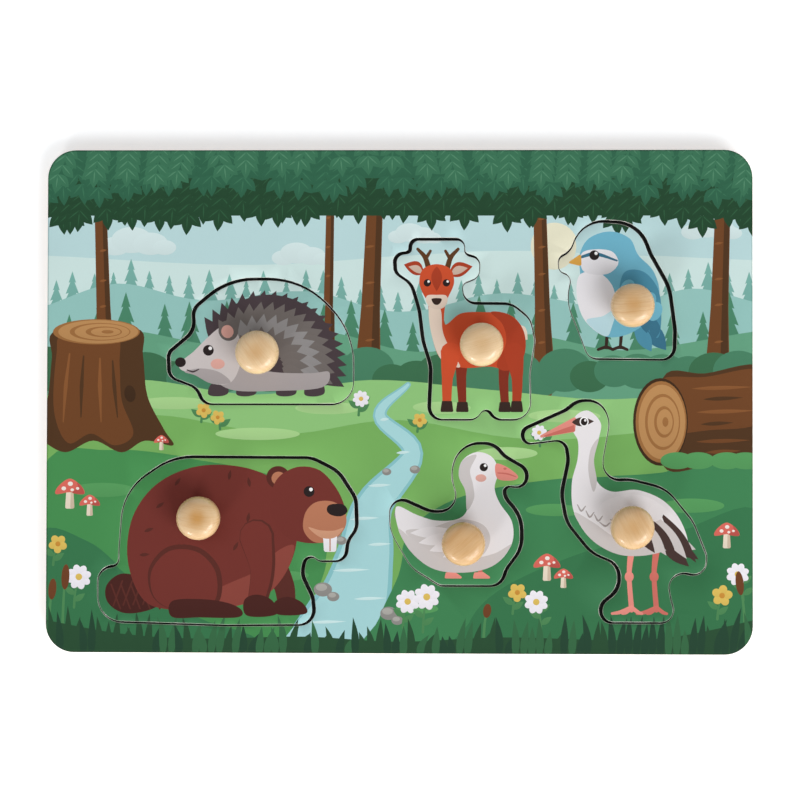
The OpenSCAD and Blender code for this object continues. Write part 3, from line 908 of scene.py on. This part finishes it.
plyLook = dict(pale="#E0C39A", deep="#C79F6C", pore="#A67C4C", crossPly="#B58B5C", glue="#7C5733",
               charAndGapShadeDark="#070403", charAndGapShadeLight="#170E09", spacing=0.0065, wander=0.016, bandShare=0.55,
               poreShare=0.4, ply=1.0, waver=0.00022, waverScale=160.0, glueEdge=(0.09, 0.03),
               glueShare=0.7, speckLie=(1.0, 1.0, 0.6), speckScale=2300.0, speck=(0.45, 0.7),
               speckShare=0.6, streakLie=(160, 160, 4200), streak=(0.35, 0.7), sootLie=(700, 700, 260),
               soot=(0.35, 0.75), ragged=0.5, gapShadeEdge=(0.2, 0.8), rough=(0.56, 0.66), relief=0.5,
               depth=0.00004)


# plywood: peeled face grain; on walls, plies in turn pale and end-grained (height / ply, its whole
# part even or odd) with thin glue lines where the fraction nears 0 or 1; cut walls are scorched; under
# each gap the top of the backing gets painted shade in the char colour
def makeBirchPly():
    look = plyLook
    material, tree, shader = newMaterial("birchPly")
    where, grain = grainOf(tree, Spacing=look["spacing"], Wander=look["wander"])
    wall = read(tree, "wall")
    face = mix(tree, times(tree, grain["Bands"], look["bandShare"]), look["pale"], look["deep"])
    face = mix(tree, times(tree, grain["Pores"], look["poreShare"]), face, look["pore"])
    waver = noise(tree, where, look["waverScale"])
    height = reckon(tree, "MULTIPLY_ADD", waver, look["waver"], axesOf(tree, where)["Z"])
    layer = reckon(tree, "DIVIDE", height, look["ply"] * mm)
    odd = reckon(tree, "MODULO", reckon(tree, "FLOOR", layer), 2.0)
    inLayer = reckon(tree, "FRACT", layer)
    toEdge = reckon(tree, "MINIMUM", inLayer, reckon(tree, "SUBTRACT", 1.0, inLayer))
    glue = spread(tree, toEdge, *look["glueEdge"])
    speck = noise(tree, stretch(tree, where, look["speckLie"]), look["speckScale"])
    speck = times(tree, spread(tree, speck, *look["speck"]), look["speckShare"])
    streak = noise(tree, stretch(tree, where, look["streakLie"]), scale=1.0, detail=3.0)
    long = mix(tree, spread(tree, streak, *look["streak"]), look["pale"], look["deep"])
    edge = mix(tree, odd, long, mix(tree, speck, look["crossPly"], look["pore"]))
    edge = mix(tree, times(tree, glue, look["glueShare"]), edge, look["glue"])
    soot = noise(tree, stretch(tree, where, look["sootLie"]), scale=1.0, detail=3.0)
    charAndGapShadeColour = mix(tree, spread(tree, soot, *look["soot"]), look["charAndGapShadeDark"], look["charAndGapShadeLight"])
    # painted shade: a ragged band of char colour on the backing under each gap, for the dark in the gap
    gapShade = spread(tree, sway(tree, soot, look["ragged"], read(tree, "gapShade")), *look["gapShadeEdge"])
    charAndGapShade = reckon(tree, "MAXIMUM", read(tree, "scorch"), gapShade)
    relief = reckon(tree, "SUBTRACT", grain["Height"], times(tree, glue, wall))
    feed(tree, shader, {
        "Base Color": mix(tree, charAndGapShade, mix(tree, wall, face, edge), charAndGapShadeColour),
        "Roughness": spread(tree, grain["Bands"], 0.0, 1.0, look["rough"]),
        "Normal": bump(tree, relief, look["relief"], look["depth"])})
    return material


birchPly = makeBirchPly()

birchLook = dict(pale="#DEC096", warm="#C99B63", line="#B5834A", pore="#9C7040", core="#BF893F",
                 spacing=0.0012, wander=0.003, streakLie=(60, 330, 200), streak=(0.3, 0.7),
                 streakShare=(-0.2, 0.2), bandShare=0.55, lineShare=0.6, poreShare=0.16,
                 coreEdge=(0.0068, 0.0012), coreScale=420.0, coreRagged=0.0016, neck=(0.0055, 0.0005),
                 neckShadeShare=0.4, rough=(0.25, 0.37), coat=0.28, coatRough=0.18, latheScale=2600.0,
                 lathe=0.6, relief=0.3, depth=0.00003)


# turned birch: each knob has its own warmth, strength of grain and of core; soft broad streaks,
# fine grain lines, a warm core about the axis, painted shade darkening the neck and fine lathe lines
def makeTurnedBirch():
    look = birchLook
    material, tree, shader = newMaterial("turnedBirch")
    own = read(tree, "knobTone", "Color")
    warmth, figure, heart = place(tree, "SeparateColor", {0: own}).outputs
    where, grain = grainOf(tree, Spacing=read(tree, "knobPitch"), Wander=look["wander"],
                           Lean=read(tree, "knobTone", "Alpha"))
    streak = noise(tree, stretch(tree, where, look["streakLie"]), scale=1.0, detail=3.0)
    streak = spread(tree, streak, *look["streak"], look["streakShare"])
    wood = mix(tree, reckon(tree, "ADD", warmth, streak), look["pale"], look["warm"])
    layers = times(tree, grain["Lines"], look["lineShare"])
    layers = reckon(tree, "MULTIPLY_ADD", grain["Bands"], look["bandShare"], layers)
    wood = mix(tree, times(tree, layers, figure), wood, look["line"])
    wood = mix(tree, times(tree, grain["Pores"], look["poreShare"]), wood, look["pore"])
    flat = stretch(tree, where, (1.0, 1.0, 0.0))
    radius = place(tree, "VectorMath", {0: flat}, operation="LENGTH").outputs["Value"]
    ragged = noise(tree, where, look["coreScale"])
    ragged = reckon(tree, "MULTIPLY_ADD", ragged, look["coreRagged"], radius)
    core = spread(tree, ragged, *look["coreEdge"])
    wood = mix(tree, times(tree, core, heart), wood, look["core"])
    # painted shade: the neck under the head is darkened towards the pore colour, for the shade it lies in
    neck = spread(tree, axesOf(tree, where)["Z"], *look["neck"], (0.0, look["neckShadeShare"]))
    lathe = lineNoise(tree, radius, look["latheScale"], detail=1.0)
    height = reckon(tree, "MULTIPLY_ADD", lathe, look["lathe"], grain["Height"])
    feed(tree, shader, {
        "Base Color": mix(tree, neck, wood, look["pore"]),
        "Roughness": spread(tree, grain["Bands"], 0.0, 1.0, look["rough"]),
        "Coat Weight": look["coat"],
        "Coat Roughness": look["coatRough"],
        "Normal": bump(tree, height, look["relief"], look["depth"])})
    return material


turnedBirch = makeTurnedBirch()
print("materials made")

slabLook = dict(edge=0.22, edgeRows=4, gapShadeMiddle=0.75, gapShadeWidth=1.25, gapShadeFade=0.9)


# least distance from points to a closed ring of straight sides
def ringDistance(points, ring):
    d = np.roll(ring, -1, 0) - ring
    away = points[:, None] - ring
    along = np.clip((away * d).sum(2) / (d * d).sum(1), 0, 1)
    return np.linalg.norm(away - along[:, :, None] * d, axis=2).min(1)


# flat top with painted shade in bands under the cuts, standing in for the dark gaps: more rings beside
# each cut, and for every new point the strength of the painted shade, full near the line's middle and
# fading out beside it
def fillGapShade(rim, cuts):
    look = slabLook
    middles = [ring - look["gapShadeMiddle"] * leftNormals(ring) for ring in cuts]
    reach = (look["gapShadeWidth"], look["gapShadeWidth"] + look["gapShadeFade"])
    sides = (*reach, *np.negative(reach))
    beside = [ring + side * leftNormals(ring) for ring in middles for side in sides]
    flat, tris, oldVerts, covers = triangulate([rim] + beside)
    tris = tris[np.fromiter((0 in cover for cover in covers), bool)]
    index = np.fromiter((min(old, default=len(flat)) for old in oldVerts), int)
    new = np.flatnonzero(index >= len(rim))
    index[new] = len(rim) + np.arange(len(new))
    away = np.min([ringDistance(flat[new], ring) for ring in middles], axis=0)
    gapShade = np.clip((reach[1] - away) / look["gapShadeFade"], 0, 1)
    return flat[new], index[tris], gapShade


# board: rings of (inset, height) carried along every outline, quarter-round at both edges, and
# flat fills at top and bottom; wall and scorch are marked face by face, painted gap shade point by point
def makeSlab(name, node, body, turn, seed, scorchOuter=0, scorchInner=0, cuts=()):
    low, high = boxOf(node)
    rings = topRings(node)
    b = slabLook["edge"]
    a = np.linspace(0, np.pi / 2, slabLook["edgeRows"])
    inset = np.concatenate([b * (1 - np.sin(a)), b * (1 - np.sin(a[::-1]))])
    z = np.concatenate([low[2] + b * (1 - np.cos(a)), high[2] - b * (1 - np.cos(a[::-1]))])
    points = np.vstack([stackRows(r + inset[:, None, None] * leftNormals(r), z) for r in rings])
    starts = np.cumsum([0] + [len(r) * len(z) for r in rings])
    grids = [start + np.arange(len(z) * len(r)).reshape(len(z), -1) for r, start in zip(rings, starts)]
    walls = [gridQuads(grid) for grid in grids]
    lowest = np.concatenate([grid[0] for grid in grids])
    highest = np.concatenate([grid[-1] for grid in grids])
    fill = fillRings([r + b * leftNormals(r) for r in rings])
    top = highest[fill]
    gapShade = np.zeros(len(points))
    # painted shade under the gaps; none where there are no cuts
    if cuts:
        more, top, moreGapShade = fillGapShade(points[highest, :2], cuts)
        top = np.concatenate([highest, len(points) + np.arange(len(more))])[top]
        points = np.vstack([points, np.column_stack([more, np.full(len(more), high[2])])])
        gapShade = np.concatenate([gapShade, moreGapShade])
    mesh = makePiece(name, points, walls + [top, lowest[fill][:, ::-1]], node, body, birchPly)
    counts = [len(walls[0]), sum(map(len, walls[1:])), len(top) + len(fill)]
    mark(mesh, "wall", "FLOAT", "FACE", np.repeat((1, 1, 0), counts))
    mark(mesh, "scorch", "FLOAT", "FACE", np.repeat((scorchOuter, scorchInner, 0), counts))
    mark(mesh, "gapShade", "FLOAT", "POINT", gapShade)
    grainPlace(mesh, points, (low + high)[:2] / 2, turn, seed)
    smooth(mesh)


sheetLook = dict(cutEdge=0.18, rimEdge=0.6, drop=0.09, edgeInk="#D8D5CF", bareLeast=0.3, bareMost=1.0,
                 barePitch=(0.55, 0.43), rimShade=0.78, light=0.05, dark=0.05, mapEdge=0.004,
                 mapStrip=0.03, mapUnder=0.6, mapWall=(0.7, 0.2), field=(170, 130))


# inks at the corners of the triangles: each shape's colour, from 1 - dark at its foot to 1 + light at
# its top; painted shade darkening the outer rim where its rounded edge turns from the light; along each
# cut a strip rubbed towards the bare paper, by a share that rises and falls with waves across the board
def sheetInks(flat, tris, shape, shapes, printed, outer, shadedRim):
    look = sheetLook
    edgeInk = linear(look["edgeInk"])
    table = np.array([edgeInk] + [linear(inks[ink]) for ink, _ in shapes])
    foot = np.array([0] + [p[:, 1].min() for _, p in shapes])
    tall = np.array([1] + [np.ptp(p[:, 1]) for _, p in shapes])
    share = (flat[tris][:, :, 1] - foot[shape][:, None]) / tall[shape][:, None]
    tone = 1 - look["dark"] + (look["dark"] + look["light"]) * share
    colour = table[shape][:, None, :] * tone[:, :, None]
    if shadedRim:
        # painted shade: the rounded outer rim is darkened by rimShade
        colour[outer] *= look["rimShade"]
        printed = printed | outer
    x, y = (flat * look["barePitch"]).T
    wave = (1 + np.sin(x + 2 * np.sin(y)) * np.cos(y + 2 * np.cos(0.7 * x))) / 2
    bare = look["bareLeast"] + (look["bareMost"] - look["bareLeast"]) * wave ** 2
    colour[~printed] += bare[tris[~printed]][:, :, None] * (edgeInk - colour[~printed])
    return colour.reshape(-1, 3)


# own map for baking: the picture fills it, walls and underside share a strip below
def mapSheet(mesh, points, tris, walls, bottom, low, high):
    look = sheetLook
    strip = look["mapStrip"]
    corners = np.concatenate([tris.ravel(), walls.ravel(), bottom.ravel()])
    uv = look["mapEdge"] + (1 - 2 * look["mapEdge"]) * (points[corners, :2] - low[:2]) / (high - low)[:2]
    onTop = np.arange(len(corners)) < tris.size
    uv[:, 1] = np.where(onTop, strip + (1 - strip) * uv[:, 1], look["mapUnder"] * strip * uv[:, 1])
    rise = (points[walls.ravel(), 2] - low[2]) / (high - low)[2]
    foot, span = look["mapWall"]
    uv[tris.size:tris.size + walls.size, 1] = strip * (foot + span * rise)
    mesh.uv_layers.new(name="OFBake").data.foreach_set("uv", uv.astype(np.float32).ravel())


# printed sheet: the shapes overlap in order and are cut into triangles with the sheet's outlines; the
# last shape over a triangle gives its ink; the rim is let down a little at the cuts
def makeSheet(name, node, body, art, shadedRim):
    look = sheetLook
    low, high = boxOf(node)
    rings = topRings(node)
    widths = [look["rimEdge" if shadedRim else "cutEdge"]] + [look["cutEdge"]] * (len(rings) - 1)
    inner = [r + width * leftNormals(r) for r, width in zip(rings, widths)]
    shapes = [(ink, p) for ink, p in art
              if (p.max(0) > low[:2]).all() and (p.min(0) < high[:2]).all()]
    around = rectangle(np.negative(look["field"]), look["field"])
    flat, tris, _, covers = triangulate([around] + [p for _, p in shapes] + rings + inner)

    # which outlines cover each triangle, as one long list with starts
    counts = np.fromiter(map(len, covers), int)
    ids = np.fromiter(itertools.chain.from_iterable(covers), int)
    starts = np.cumsum(counts) - counts
    rim = 1 + len(shapes)

    def inside(which):
        return np.logical_or.reduceat(np.isin(ids, which), starts)

    holes = np.arange(rim + 1, rim + len(rings))
    keep = inside([rim]) & ~inside(holes)
    printed = inside([rim + len(rings)]) & ~inside(holes + len(rings))
    outer = inside([rim]) & ~inside([rim + len(rings)])
    shape = np.maximum.reduceat(np.where(ids < rim, ids, 0), starts)
    tris, printed, outer, shape = tris[keep], printed[keep], outer[keep], shape[keep]
    used, tris = np.unique(tris, return_inverse=True)
    flat, tris = flat[used], tris.reshape(-1, 3)

    # upper face with its rim let down, walls, and a plain underside
    edges = rimEdges(tris, len(flat))
    loops = joinRings(edges, len(flat))
    loops.sort(key=lambda ring: -ringArea(flat[ring]))
    z = np.full(len(flat), high[2])
    z[np.unique(edges)] -= look["drop"]
    under = np.concatenate(loops)
    below = np.zeros(len(flat), int)
    below[under] = len(flat) + np.arange(len(under))
    underside = np.column_stack([flat[under], np.full(len(under), low[2])])
    points = np.vstack([np.column_stack([flat, z]), underside])
    walls = np.column_stack([below[edges[:, 0]], below[edges[:, 1]], edges[:, 1], edges[:, 0]])
    bottom = len(flat) + fillRings([flat[ring] for ring in loops])[:, ::-1]
    mesh = makePiece(name, points, [tris, walls, bottom], node, body, printedPaper)
    colour = sheetInks(flat, tris, shape, shapes, printed, outer, shadedRim)
    back = np.tile(linear(paperLook["back"]), (walls.size + bottom.size, 1))
    colour = np.vstack([colour, back])
    mark(mesh, "ink", "FLOAT_COLOR", "CORNER", np.column_stack([colour, np.ones(len(colour))]))
    mapSheet(mesh, points, tris, walls, bottom, low, high)
    print("  ", name, "shapes", len(shapes), "triangles", len(tris) + 2 * len(walls) + len(bottom))


knobLook = dict(height=15.0, rim=8.5, under=4.0, neckRadius=5.25, neckRound=0.12, tenonRadius=3.95,
                tenon=4.8, tenonBevel=0.4, power=3.2, turns=112, rows=22)


# knob: profile turned about its axis; head sides follow (cos a)^(2/p), (sin a)^(2/p) above and
# below the rim, the neck stands on the picture and the tenon goes down into the block
def makeKnob(name, node, body, turn, seed, tone, pitch):
    low, high = boxOf(node)
    look = knobLook
    rim, neck, shank, tenon = look["rim"], look["neckRadius"], look["tenonRadius"], look["tenon"]
    bevel, soft = look["tenonBevel"], look["neckRound"]
    headRadius = (high - low)[0] / 2
    a = np.linspace(0, np.pi / 2, look["rows"])
    qx, qz = np.cos(a) ** (2 / look["power"]), np.sin(a) ** (2 / look["power"])
    head = np.column_stack([headRadius * qx, rim + (look["height"] - rim) * qz])[1:-1]
    lip = np.column_stack([neck + (headRadius - neck) * qx, rim - look["under"] * qz])[::-1]
    foot = [(shank - bevel, -tenon), (shank, bevel - tenon), (shank, 0), (neck - soft, 0), (neck, soft)]
    profile = np.vstack([foot, lip, head])
    centre = (low + high)[:2] / 2
    base = high[2] - look["height"]
    t = np.linspace(0, 2 * np.pi, look["turns"], endpoint=False)
    around = np.stack([np.cos(t), np.sin(t)], 1)
    turned = stackRows(centre + profile[:, :1, None] * around, base + profile[:, 1])
    poles = [(*centre, base - tenon), (*centre, base + look["height"])]
    points = np.vstack([turned, poles])
    grid = np.arange(len(turned)).reshape(len(profile), -1)
    right = np.roll(grid, -1, 1)
    south = np.column_stack([right[0], grid[0], np.full(len(t), len(turned))])
    north = np.column_stack([grid[-1], right[-1], np.full(len(t), len(turned) + 1)])
    mesh = makePiece(name, points, [gridQuads(grid), south, north], node, body, turnedBirch)
    grainPlace(mesh, points - (0, 0, base), centre, turn, seed)
    mark(mesh, "knobTone", "FLOAT_COLOR", "POINT", np.tile(tone, len(points)))
    mark(mesh, "knobPitch", "FLOAT", "POINT", np.full(len(points), pitch * birchLook["spacing"]))
    smooth(mesh)


# the board: a closed back, the frame with six cut-outs, and the picture on it
cutOuts = topRings("frame_board")[1:]
makeSlab("backPanel", "backing_board", "board", turn=2, seed=0.31, cuts=cutOuts)
makeSlab("framePanel", "frame_board", "board", turn=-3, seed=0.87, scorchInner=1)
landscape = drawMeadow()
makeSheet("framePicture", "frame_print", "board", landscape, shadedRim=True)
print("board made")

# knobTone: warmth, strength of the grain lines, strength of the core, lean of the grain;
# knobPitch: width of its layers, as a share of the usual one
liftOuts = dict(
    hedgehog=dict(draw=drawHedgehog, blockTurn=4, knobTurn=-52,
                  knobTone=(0.08, 0.2, 0.45, 0.5), knobPitch=1.6, seed=0.12),
    deer=dict(draw=drawDeer, blockTurn=-2, knobTurn=18,
              knobTone=(0.05, 0.1, 0.3, 0.3), knobPitch=1.2, seed=0.47),
    songbird=dict(draw=drawSongbird, blockTurn=1, knobTurn=3,
                  knobTone=(0.38, 0.32, 0.6, 0.3), knobPitch=1.0, seed=0.63),
    beaver=dict(draw=drawBeaver, blockTurn=-5, knobTurn=-9,
                knobTone=(0.36, 0.16, 0.9, 0.5), knobPitch=1.0, seed=0.29),
    goose=dict(draw=drawGoose, blockTurn=3, knobTurn=40,
               knobTone=(0.72, 0.2, 0.15, 0.3), knobPitch=1.1, seed=0.74),
    stork=dict(draw=drawStork, blockTurn=-1, knobTurn=-61,
               knobTone=(0.45, 0.24, 0.4, 0.2), knobPitch=0.6, seed=0.91))


# middle of a ring's box
def ringMiddle(ring):
    return (ring.min(0) + ring.max(0)) / 2


# each piece was cut from the same picture, so its ground slides with it by the play in its cut-out
for animal, look in liftOuts.items():
    low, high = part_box(animal + "_knob")
    at = np.array((low + high)[:2]) / 2 / mm
    middle = ringMiddle(topRings(animal + "_block")[0])
    slip = min([middle - ringMiddle(ring) for ring in cutOuts], key=np.linalg.norm)
    art = [(ink, p + slip) for ink, p in landscape] + [(ink, p + at) for ink, p in look["draw"]()]
    makeSlab(animal + "Piece", animal + "_block", animal, turn=look["blockTurn"],
             seed=look["seed"], scorchOuter=1)
    makeSheet(animal + "Picture", animal + "_print", animal, art, shadedRim=False)
    makeKnob(animal + "Knob", animal + "_knob", animal, turn=look["knobTurn"],
             seed=look["seed"], tone=look["knobTone"], pitch=look["knobPitch"])
print("six lift-out pieces made")

stageLook = dict(lens=105.9, nearest=0.05, distance=1.0, turn=(1.154, 1.328, 0.12),
                 aim=(0.000585, 0.000517, 0.0082), floorSize=4.0, floorDrop=0.0001, floorTone=0.97,
                 floorGlow=0.42, floorTint=(0.95, 1.0, 1.05), skyTop=0.14, skyRise=2.15, skyPower=2.0,
                 skySide=(0.24, -0.46, 0.0))
lamps = dict(keyLamp=dict(at=(1.08, -1.29, 1.42), size=(1.4, 1.1), power=29.0),
             fillLamp=dict(at=(-1.01, -1.59, 0.90), size=(0.42, 0.3), power=10.8))


# camera: looks straight down when unturned; turned about X, Y and Z, it stands back from the aim
def makeCamera():
    data = bpy.data.cameras.new("viewCamera")
    data.lens = stageLook["lens"]
    data.clip_start = stageLook["nearest"]
    camera = addObject("viewCamera", data)
    camera.rotation_euler = np.radians(stageLook["turn"])
    back = camera.rotation_euler.to_matrix() @ Vector((0, 0, stageLook["distance"]))
    camera.location = Vector(stageLook["aim"]) + back
    bpy.context.scene.camera = camera


# lamp: a plain rectangle of light that faces the origin
def makeLamp(name, at, size, power):
    data = bpy.data.lights.new(name, "AREA")
    data.shape = "RECTANGLE"
    data.size, data.size_y = size
    data.energy = power
    lamp = addObject(name, data)
    lamp.location = at
    lamp.rotation_euler = (-Vector(at)).to_track_quat("-Z", "Y").to_euler()


# 1 on rays from the camera, reflections and transmission, else 0
def seenDirectly(tree):
    path = place(tree, "LightPath").outputs
    seen = reckon(tree, "MAXIMUM", path["Is Camera Ray"], path["Is Glossy Ray"])
    return reckon(tree, "MAXIMUM", seen, path["Is Transmission Ray"])


# floor: pale and matt, so it keeps the shadow; what the camera and reflections see of it is lifted
def makeFloor():
    look = stageLook
    reach = look["floorSize"] / 2
    corners = rectangle((-reach, -reach), (reach, reach))
    corners = np.column_stack([corners, np.full(4, -look["floorDrop"])])
    mesh = bpy.data.meshes.new("floor")
    mesh.from_pydata(corners.tolist(), [], [(0, 1, 2, 3)])
    addObject("floor", mesh)
    material, tree, shader = newMaterial("paleFloor")
    feed(tree, shader, {
        "Base Color": (*[look["floorTone"]] * 3, 1),
        "Roughness": 1.0,
        "Specular IOR Level": 0.0,
        "Emission Color": (*look["floorTint"], 1),
        "Emission Strength": times(tree, seenDirectly(tree), look["floorGlow"])})
    mesh.materials.append(material)


# sky: as in a white tent open to one side, top + rise (1 - height)^2 (1 + side . direction)
def makeSky():
    look = stageLook
    world = bpy.data.worlds.new("studio")
    bpy.context.scene.world = world
    world.use_nodes = True
    tree = world.node_tree
    towards = place(tree, "TexCoord").outputs["Generated"]
    height = reckon(tree, "MAXIMUM", axesOf(tree, towards)["Z"], 0.0)
    low = reckon(tree, "POWER", reckon(tree, "SUBTRACT", 1.0, height), look["skyPower"])
    side = place(tree, "VectorMath", {0: towards, 1: look["skySide"]}, operation="DOT_PRODUCT")
    rise = reckon(tree, "MULTIPLY_ADD", low, side.outputs["Value"], low)
    fill = reckon(tree, "MULTIPLY_ADD", rise, look["skyRise"], look["skyTop"])
    strength = place(tree, "Mix", {0: seenDirectly(tree), 2: fill, 3: 1.0}).outputs[0]
    feed(tree, tree.nodes["Background"], {"Color": (1, 1, 1, 1), "Strength": strength})


makeCamera()
for name, lamp in lamps.items():
    makeLamp(name, **lamp)
makeFloor()
makeSky()
bpy.context.scene.view_settings.view_transform = "Standard"
print("stage set")
